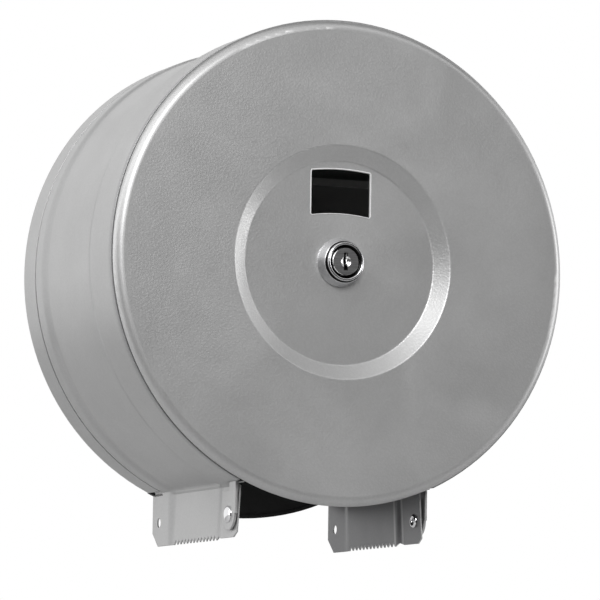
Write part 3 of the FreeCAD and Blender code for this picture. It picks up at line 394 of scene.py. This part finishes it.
def satin_nickel(look, shared):
    """Brushed plating of the plug; the dimple round the key slot and the rim are painted near white, partly
    polish from wear and partly a painted highlight.
    """
    material, tree, shader, where = finish_of("Satin nickel", 0.34, 1.0)
    lines = use(tree, shared["brush"], {"Vector": where, "Fineness": 5200.0})
    # Dimple and rim painted near white: partly polish, partly a painted highlight; they are also a little
    # smoother.
    dimple = zone_mask(tree, shared, where, -1.0, 0.0030, 0.1385, 0.141, 0.0002)
    rim = zone_mask(tree, shared, where, 0.00685, 0.0075, 0.1395, 0.141, 0.0001)
    polish_and_highlight = arithmetic(tree, "MAXIMUM", dimple, rim)
    satin = blend_colour(tree, lines.outputs["Mask"], (0.18, 0.18, 0.185, 1.0), (0.30, 0.30, 0.30, 1.0))
    tree.links.new(blend_colour(tree, polish_and_highlight, satin, (0.92, 0.92, 0.92, 1.0)), shader.inputs["Base Color"])
    rough = remap(tree, lines.outputs["Mask"], 0.0, 1.0, 0.3, 0.46)
    tree.links.new(arithmetic(tree, "SUBTRACT", rough, arithmetic(tree, "MULTIPLY", polish_and_highlight, 0.2)),
                   shader.inputs["Roughness"])
    join_bump(tree, shader, lines.outputs["Mask"], 0.00001, 0.4)
    return material


def cloudy_metal(name, fineness, detail, dark, light, smooth, rough):
    """A dull metal whose colour and roughness change together in soft clouds; dark and light are colours."""
    material, tree, shader, where = finish_of(name, (smooth + rough) / 2.0, 1.0)
    bloom = place(tree, "ShaderNodeTexNoise", {"Vector": where, "Scale": fineness, **detail})
    cloud = remap(tree, bloom.outputs[0], 0.3, 0.7, 0.0, 1.0)
    tree.links.new(blend_colour(tree, cloud, dark, light), shader.inputs["Base Color"])
    tree.links.new(remap(tree, cloud, 0.0, 1.0, smooth, rough), shader.inputs["Roughness"])
    return material, tree, shader, where, bloom.outputs[0]


def zinc_plate(look, shared):
    """Zinc plated steel with drawn lines."""
    material, tree, shader, where, bloom = cloudy_metal(
        "Zinc plated steel", 140.0, {"Detail": 5.0, "Roughness": 0.65},
        (0.50, 0.51, 0.53, 1.0), (0.66, 0.66, 0.65, 1.0), 0.24, 0.42)
    lines = use(tree, shared["brush"], {"Vector": where, "Fineness": 2600.0})
    join_bump(tree, shader, lines.outputs["Mask"], 0.00002, 0.35)
    return material


def rivet_aluminium(look, shared):
    """Aluminium of the small rivets, slightly uneven from setting."""
    material, tree, shader, where, bloom = cloudy_metal(
        "Rivet aluminium", 600.0, {"Detail": 4.0}, (0.66, 0.66, 0.67, 1.0), (0.78, 0.78, 0.78, 1.0), 0.28, 0.44)
    join_bump(tree, shader, bloom, 0.00002, 0.3)
    return material


FINISHES = {
    "grey": grey_powder_coat, "strip": strip_coat, "black": black_lining, "plastic": moulded_grey,
    "chrome": bright_chrome, "lock": lock_chrome, "lip": lip_enamel_and_highlight, "nickel": satin_nickel,
    "zinc": zinc_plate, "rivet": rivet_aluminium,
}
NODE_FINISH = {
    "back_pan": "grey", "front_lid": "grey",
    "side_band": "strip", "lid_lug_left": "strip", "lid_lug_right": "strip",
    "back_liner": "black", "roll_hub": "plastic", "lock_plug": "nickel",
    "lock_housing": "chrome", "hinge_pin_left": "chrome", "hinge_pin_right": "chrome",
    "hinge_washer_left": "zinc", "hinge_washer_right": "zinc", "lock_washer": "zinc", "lock_nut": "zinc",
    "lock_cam": "zinc", "cam_screw": "zinc", "spindle_post": "zinc", "catch_plate": "zinc",
    "spindle_rivets": "rivet", "liner_rivets": "rivet",
}
made_finishes = {}


def finish(name):
    """The material of that name; all of them are built the first time that a piece asks for one."""
    if not made_finishes:
        shared = {"grain": paint_grain(), "handling": handling(), "brush": brush_lines(), "zone": turned_zone()}
        look = bpy.context.scene.dispenser_look
        for key, build in FINISHES.items():
            made_finishes[key] = build(look, shared)
    return made_finishes[name]


# Settings

class DispenserLook(bpy.types.PropertyGroup):
    """Colours and grain of the finishes."""
    paint_colour: FloatVectorProperty(
        name="Paint colour", description="Base colour of the powder coat",
        size=3, subtype="COLOR", min=0.0, max=1.0, default=(0.5, 0.5, 0.5))
    paint_roughness: FloatProperty(
        name="Paint roughness", description="Roughness of the powder coat",
        subtype="FACTOR", min=0.0, max=1.0, default=0.36)
    paint_metal: FloatProperty(
        name="Paint metal", description="Share of metal flake in the powder coat",
        subtype="FACTOR", min=0.0, max=1.0, default=0.5)
    grain_count: FloatProperty(
        name="Grain count", description="Grain pillows along a metre of paint",
        min=100.0, max=5000.0, default=900.0)
    grain_depth: FloatProperty(
        name="Grain depth", description="Height of the grain in the paint",
        unit="LENGTH", min=0.0, max=0.001, precision=6, default=0.00004)


class DispenserStage(bpy.types.PropertyGroup):
    """Floor, camera and lamps."""
    floor_height: FloatProperty(
        name="Floor height", description="Height of the floor, measured from the drum's axis",
        unit="LENGTH", default=-0.42)
    lens: FloatProperty(
        name="Lens", description="Focal length on a 36 mm frame", unit="CAMERA", default=259.4)
    key_power: FloatProperty(
        name="Key power", description="Power of the softbox at the upper left", unit="POWER", default=8.0)
    left_power: FloatProperty(
        name="Left power", description="Power of the softbox at the left", unit="POWER", default=3.6)
    front_power: FloatProperty(
        name="Front power", description="Power of the softbox beside the camera", unit="POWER", default=28.0)
    right_power: FloatProperty(
        name="Right power", description="Power of the softbox at the right", unit="POWER", default=5.5)
    surround: FloatProperty(
        name="Surround", description="Strength of the even light around the object",
        min=0.0, max=1.0, default=0.44)


# Meshes and objects

def rider(node):
    """The moving body that carries a CAD node."""
    return frame["nodes"][node]["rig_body"]


def add_object(name, mesh):
    """The mesh as an object of its own in the scene."""
    data = bpy.data.meshes.new(name)
    mesh.to_mesh(data)
    mesh.free()
    thing = bpy.data.objects.new(name, data)
    bpy.context.scene.collection.objects.link(thing)
    return thing


def keep_piece(name, mesh, material, body, *nodes):
    """The finished mesh as a piece that moves with a body and stands for the nodes named."""
    for face in mesh.faces:
        face.smooth = True
    for line in mesh.edges:
        if len(line.link_faces) == 2:
            line.smooth = line.calc_face_angle() < SMOOTH_ANGLE
    piece = add_object(name, mesh)
    piece.data.materials.append(finish(material))
    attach(piece, body)
    if nodes:
        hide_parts(*nodes)
    return piece


def turned_piece(profile, centre, axis, steps):
    """A closed turned mesh: profile holds (distance along the axis, radius) in metres, from end to end."""
    along = Vector(axis)
    across = Vector((0.0, 0.0, 1.0))
    mesh = bmesh.new()
    points = [mesh.verts.new(Vector(centre) + along * distance + across * radius)
              for distance, radius in profile]
    lines = [mesh.edges.new(pair) for pair in zip(points, points[1:])]
    bmesh.ops.spin(mesh, geom=points + lines, cent=centre, axis=axis, dvec=(0.0, 0.0, 0.0),
                   angle=2.0 * math.pi, steps=steps, use_merge=True, use_duplicate=False)
    bmesh.ops.remove_doubles(mesh, verts=mesh.verts, dist=MERGE_DISTANCE)
    bmesh.ops.recalc_face_normals(mesh, faces=mesh.faces)
    return mesh


def arc_points(centre, radii, first, last, count):
    """Points of an elliptical arc as (distance, radius); first and last in degrees from the axis."""
    made = []
    for number in range(count + 1):
        angle = math.radians(first + (last - first) * number / count)
        made.append((centre[0] + radii[0] * math.cos(angle), centre[1] + radii[1] * math.sin(angle)))
    return made


# Pieces

class DISPENSER_OT_rivets(bpy.types.Operator):
    """Two hinge rivets: chrome mushroom head outside, hollow rolled tail inside the leg"""
    bl_idname = "dispenser.rivets"
    bl_label = "Hinge rivets"

    def execute(self, context):
        seat, top = 53.55 * MM, 55.25 * MM
        shank_radius, head_radius, round_rise = 2.45 * MM, 4.3 * MM, 0.25 * MM
        tail = [(51.9 * MM, 0.0), (51.9 * MM, 1.6 * MM), (50.0 * MM, 1.6 * MM)]
        tail += arc_points((50.05 * MM, 2.55 * MM), (0.75 * MM, 0.95 * MM), 270.0, 90.0, 10)
        shank = [(50.1 * MM, shank_radius), (seat, shank_radius), (seat, 4.25 * MM)]
        dome = arc_points((seat + round_rise, 0.0), (top - seat - round_rise, head_radius), 90.0, 0.0, 12)
        for side, sign in (("left", -1.0), ("right", 1.0)):
            mesh = turned_piece(tail + shank + dome, (0.0, -HINGE_OUT * MM, HINGE_UP * MM),
                                (sign, 0.0, 0.0), steps=64)
            keep_piece("hinge_rivet_" + side, mesh, "chrome", rider("hinge_pin_" + side), "hinge_pin_" + side)
        return {"FINISHED"}


class DISPENSER_OT_lock(bpy.types.Operator):
    """Chrome lock housing: dished lip, collar, flared skirt and a threaded barrel with two flats"""
    bl_idname = "dispenser.lock"
    bl_label = "Lock housing"

    def execute(self, context):
        # Corners as (distance out, radius) in millimetres.
        bore = [(118.4, 6.26), (131.3, 6.26), (131.3, 7.46), (139.3, 7.46), (139.35, 7.62)]
        lip = [(139.75, 8.0), (140.2, 8.4), (140.55, 8.72), (140.72, 8.95), (140.79, 9.15), (140.8, 9.35),
               (140.76, 9.58), (140.66, 9.78), (140.5, 9.93), (140.3, 10.04), (140.05, 10.09)]
        collar = [(138.95, 10.1), (138.78, 10.14), (138.68, 10.24), (138.6, 10.5), (138.52, 10.78),
                  (138.42, 10.92), (138.25, 11.02)]
        skirt = [(136.7, 11.52), (135.1, 12.05), (133.85, 12.48), (133.6, 12.56), (133.35, 12.6), (132.6, 12.6)]
        crest, root, turns, first_turn = 9.5, 9.02, 11, 130.6
        barrel = [(132.6, crest), (131.0, crest)]
        for number in range(turns):
            out = first_turn - number
            barrel += [(out, crest), (out - 0.42, crest), (out - 0.6, root), (out - 0.86, root)]
        barrel += [(118.9, crest), (118.4, 9.1)]
        profile = [(out * MM, radius * MM) for out, radius in bore + lip + collar + skirt + barrel + bore[:1]]
        mesh = turned_piece(profile, (0.0, 0.0, 0.0), (0.0, -1.0, 0.0), steps=120)
        flat_half, flats_front = 8.0 * MM, 131.2 * MM
        for vertex in mesh.verts:
            if -vertex.co.y < flats_front:
                vertex.co.x = max(-flat_half, min(flat_half, vertex.co.x))
        keep_piece("lock_bezel", mesh, "lock", rider("lock_housing"), "lock_housing")
        return {"FINISHED"}


class DISPENSER_OT_keyway(bpy.types.Operator):
    """Wards inside the keyway of the plug"""
    bl_idname = "dispenser.keyway"
    bl_label = "Keyway wards"

    def execute(self, context):
        thickness, offset, front, depth, rounding = 0.5 * MM, 0.85 * MM, 139.0 * MM, 9.0 * MM, 0.12 * MM
        mesh = bmesh.new()
        for sign, low, high in ((-1.0, -4.4, -0.6), (1.0, -1.9, 4.4)):
            made = bmesh.ops.create_grid(mesh, x_segments=2, y_segments=10, size=0.5)["verts"]
            bmesh.ops.scale(mesh, vec=(thickness, (high - low) * MM, 1.0), verts=made)
            bmesh.ops.rotate(mesh, cent=(0.0, 0.0, 0.0), matrix=Matrix.Rotation(math.pi / 2.0, 3, "X"),
                             verts=made)
            bmesh.ops.translate(mesh, vec=(sign * offset, -front, (low + high) / 2.0 * MM), verts=made)
            faces = list({face for vertex in made for face in vertex.link_faces})
            deeper = bmesh.ops.extrude_face_region(mesh, geom=faces)["geom"]
            bmesh.ops.translate(mesh, vec=(0.0, depth, 0.0),
                                verts=[item for item in deeper if isinstance(item, bmesh.types.BMVert)])
        bmesh.ops.recalc_face_normals(mesh, faces=mesh.faces)
        sharp = [line for line in mesh.edges
                 if len(line.link_faces) == 2 and line.calc_face_angle() > SHARP_ANGLE]
        bmesh.ops.bevel(mesh, geom=sharp, offset=rounding, segments=2, profile=0.5, affect="EDGES",
                        material=-1, clamp_overlap=True)
        keep_piece("keyway_wards", mesh, "nickel", rider("lock_plug"))
        return {"FINISHED"}


def corner_points(across, up, radius, first):
    """Seven points of a quarter circle round a middle, from an angle in degrees."""
    angles = [math.radians(first + number * 15.0) for number in range(7)]
    return [(across + radius * math.cos(angle), up + radius * math.sin(angle)) for angle in angles]


def window_outline(spread):
    """Points round the window in millimetres, moved outwards by spread: bowed foot and top, round corners."""
    half, corner = WINDOW_HALF + spread, WINDOW_CORNER + spread
    reach = half - corner
    points = []
    for level, bow, way, first in ((WINDOW_FOOT - spread, WINDOW_FOOT_BOW, 1.0, 180.0),
                                   (WINDOW_TOP + spread, WINDOW_TOP_BOW, -1.0, 0.0)):
        fall = math.sqrt(bow * bow - half * half)
        up = level + math.sqrt(bow * bow - reach * reach) - fall + way * corner
        points += corner_points(-way * reach, up, corner, first)
        points += [(across, level + math.sqrt(bow * bow - across * across) - fall)
                   for across in (way * reach * (number / 7.0 - 1.0) for number in range(1, 14))]
        points += corner_points(way * reach, up, corner, first + 90.0)
    return points


class DISPENSER_OT_window(bpy.types.Operator):
    """Rolled lip round the window slot of the lid"""
    bl_idname = "dispenser.window"
    bl_label = "Window lip"

    def execute(self, context):
        # The lip's section as (spread from the window's outline, distance out) in millimetres.
        section = ((-0.2, 131.4), (-0.24, 132.5), (-0.18, 132.78), (-0.05, 132.92), (0.1, 132.96),
                   (0.26, 132.88), (0.38, 132.7), (0.4, 132.5))
        mesh = bmesh.new()
        rings = []
        for spread, out in section:
            loop = [mesh.verts.new((across * MM, -out * MM, up * MM)) for across, up in window_outline(spread)]
            rings.append([mesh.edges.new(pair) for pair in zip(loop, loop[1:] + loop[:1])])
        for first, second in zip(rings, rings[1:]):
            bmesh.ops.bridge_loops(mesh, edges=first + second)
        bmesh.ops.recalc_face_normals(mesh, faces=mesh.faces)
        keep_piece("window_lip", mesh, "lip", rider("front_lid"))
        return {"FINISHED"}


# Stage

def seen_ray(tree):
    """1 where the eye looks straight, by a reflection or through glass, else 0."""
    paths = tree.nodes.new("ShaderNodeLightPath")
    seen = arithmetic(tree, "ADD", paths.outputs["Is Camera Ray"], paths.outputs["Is Glossy Ray"])
    return arithmetic(tree, "ADD", seen, paths.outputs["Is Transmission Ray"], clamp=True)


def turn_towards(position):
    """The turn that points a lamp or card at the part."""
    return (Vector(AIM_POINT) - Vector(position)).to_track_quat("-Z", "Y")


def add_camera(scene, lens):
    """The camera as it was fitted to the photograph."""
    camera_data = bpy.data.cameras.new("Camera")
    camera_data.sensor_fit = "HORIZONTAL"
    camera_data.sensor_width = 36.0
    camera_data.lens = lens
    camera_data.clip_end = 50.0
    camera = bpy.data.objects.new("Camera", camera_data)
    scene.collection.objects.link(camera)
    forward, upward = Vector(CAMERA_FORWARD).normalized(), Vector(CAMERA_UP).normalized()
    right = forward.cross(upward).normalized()
    turned = Matrix((right, upward, -forward)).transposed().to_4x4()
    camera.matrix_world = Matrix.Translation(CAMERA_PLACE) @ turned
    scene.camera = camera


def add_floor(height):
    """A pale floor that lights the part a little less than it looks."""
    mesh = bmesh.new()
    bmesh.ops.create_grid(mesh, x_segments=8, y_segments=8, size=4.0,
                          matrix=Matrix.Translation((0.0, 0.0, height)))
    floor = add_object("Floor", mesh)
    material, tree, shader, where = finish_of("Pale floor", 0.7)
    dapple = place(tree, "ShaderNodeTexNoise", {"Vector": where, "Scale": 3.0, "Detail": 3.0})
    pale = blend_colour(tree, dapple.outputs[0], (0.80, 0.80, 0.80, 1.0), (0.84, 0.84, 0.84, 1.0))
    tree.links.new(blend_colour(tree, seen_ray(tree), (0.75, 0.75, 0.75, 1.0), pale),
                   shader.inputs["Base Color"])
    floor.data.materials.append(material)


def add_flags():
    """Black cards that only reflections see, for the dark tones in the metal."""
    velvet, tree, shader, where = finish_of("Black velvet", 0.9)
    nap = place(tree, "ShaderNodeTexNoise", {"Vector": where, "Scale": 60.0, "Detail": 2.0})
    tree.links.new(blend_colour(tree, nap.outputs[0], (0.05, 0.05, 0.05, 1.0), (0.07, 0.07, 0.07, 1.0)),
                   shader.inputs["Base Color"])
    for name, wide, high, position in FLAGS:
        turn = turn_towards(position).to_matrix().to_4x4()
        stretch = Matrix.Diagonal((wide, high, 1.0, 1.0))
        mesh = bmesh.new()
        bmesh.ops.create_grid(mesh, x_segments=1, y_segments=1, size=0.5,
                              matrix=Matrix.Translation(position) @ turn @ stretch)
        flag = add_object(name, mesh)
        flag.data.materials.append(velvet)
        flag.visible_camera = False


class DISPENSER_OT_stage(bpy.types.Operator):
    """Camera at the photograph's angle, pale floor, soft lamps and a white surround"""
    bl_idname = "dispenser.stage"
    bl_label = "Stage"

    def execute(self, context):
        scene = context.scene
        stage = scene.dispenser_stage
        add_camera(scene, stage.lens)
        add_floor(stage.floor_height)
        for name, power, wide, high, position in (
                ("Key", stage.key_power, 1.3, 1.3, (-1.2, -0.75, 1.0)),
                ("Left", stage.left_power, 0.6, 0.9, (-1.6, -0.1, 0.12)),
                ("Right", stage.right_power, 0.4, 0.9, (1.7, -0.45, 0.15)),
                ("Front", stage.front_power, 0.9, 0.9, (-0.55, -2.3, 1.0))):
            light = bpy.data.lights.new(name, "AREA")
            light.shape = "RECTANGLE"
            light.size = wide
            light.size_y = high
            light.energy = power
            lamp = bpy.data.objects.new(name, light)
            scene.collection.objects.link(lamp)
            lamp.location = position
            lamp.rotation_euler = turn_towards(position).to_euler()
        add_flags()
        world = bpy.data.worlds.new("Surround")
        scene.world = world
        world.use_nodes = True
        tree = world.node_tree
        background = tree.nodes["Background"]
        tree.links.new(remap(tree, seen_ray(tree), 0.0, 1.0, stage.surround, 1.0), background.inputs["Strength"])
        background.inputs["Color"].default_value = (1.0, 1.0, 1.0, 1.0)
        scene.view_settings.view_transform = "Standard"
        return {"FINISHED"}


class DISPENSER_OT_finishes(bpy.types.Operator):
    """Gives every solid of the frame its finish"""
    bl_idname = "dispenser.finishes"
    bl_label = "Finishes"

    def execute(self, context):
        for name, thing in frame["nodes"].items():
            material = finish(NODE_FINISH[name])
            if thing.material_slots:
                for slot in thing.material_slots:
                    slot.material = material
            else:
                thing.data.materials.append(material)
        return {"FINISHED"}


class DISPENSER_PT_panel(bpy.types.Panel):
    """Pieces and stage of the dispenser"""
    bl_label = "Dispenser"
    bl_idname = "DISPENSER_PT_panel"
    bl_space_type = "VIEW_3D"
    bl_region_type = "UI"
    bl_category = "Dispenser"

    def draw(self, context):
        for name in STEPS:
            self.layout.operator("dispenser." + name)


STEPS = ("stage", "finishes", "window", "lock", "keyway", "rivets")
CLASSES = (DispenserLook, DispenserStage, DISPENSER_OT_stage, DISPENSER_OT_finishes, DISPENSER_OT_window,
           DISPENSER_OT_lock, DISPENSER_OT_keyway, DISPENSER_OT_rivets, DISPENSER_PT_panel)


def register():
    for made in CLASSES:
        bpy.utils.register_class(made)
    bpy.types.Scene.dispenser_look = PointerProperty(type=DispenserLook)
    bpy.types.Scene.dispenser_stage = PointerProperty(type=DispenserStage)


def unregister():
    del bpy.types.Scene.dispenser_stage
    del bpy.types.Scene.dispenser_look
    for made in reversed(CLASSES):
        bpy.utils.unregister_class(made)


def main():
    register()
    for name in STEPS:
        getattr(bpy.ops.dispenser, name)()
    bpy.context.view_layer.update()


if __name__ == "__main__":
    main()
